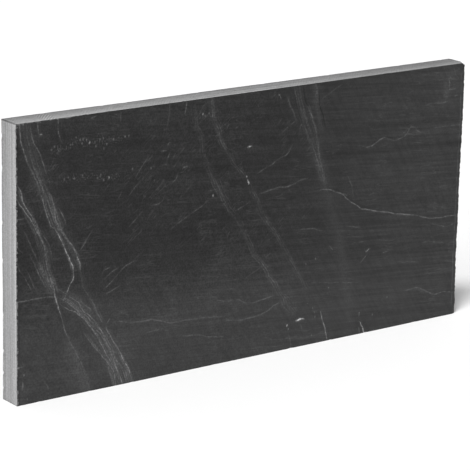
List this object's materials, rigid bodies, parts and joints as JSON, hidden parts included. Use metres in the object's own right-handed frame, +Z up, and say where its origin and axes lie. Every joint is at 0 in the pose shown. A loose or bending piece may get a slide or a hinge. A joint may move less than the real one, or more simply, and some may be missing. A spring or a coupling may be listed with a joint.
{
  "type": "slate edging stone",
  "caption": "Long flat slab of dark split slate with sawn edges, standing on its long edge to border a bed, path or lawn.",
  "frame": {"origin": "middle of the sawn base that the slab stands on", "axes": "+X along the length, away from the sawn end; +Y through the thickness, from the front split face to the back; +Z up"},
  "size_m": [0.5, 0.024, 0.25],
  "materials": {
    "slate": "dark split faces with pale veins, light grey sawn edges"
  },
  "bodies": {
    "root": {"slate_slab": "slate"}
  },
  "joints": []
}
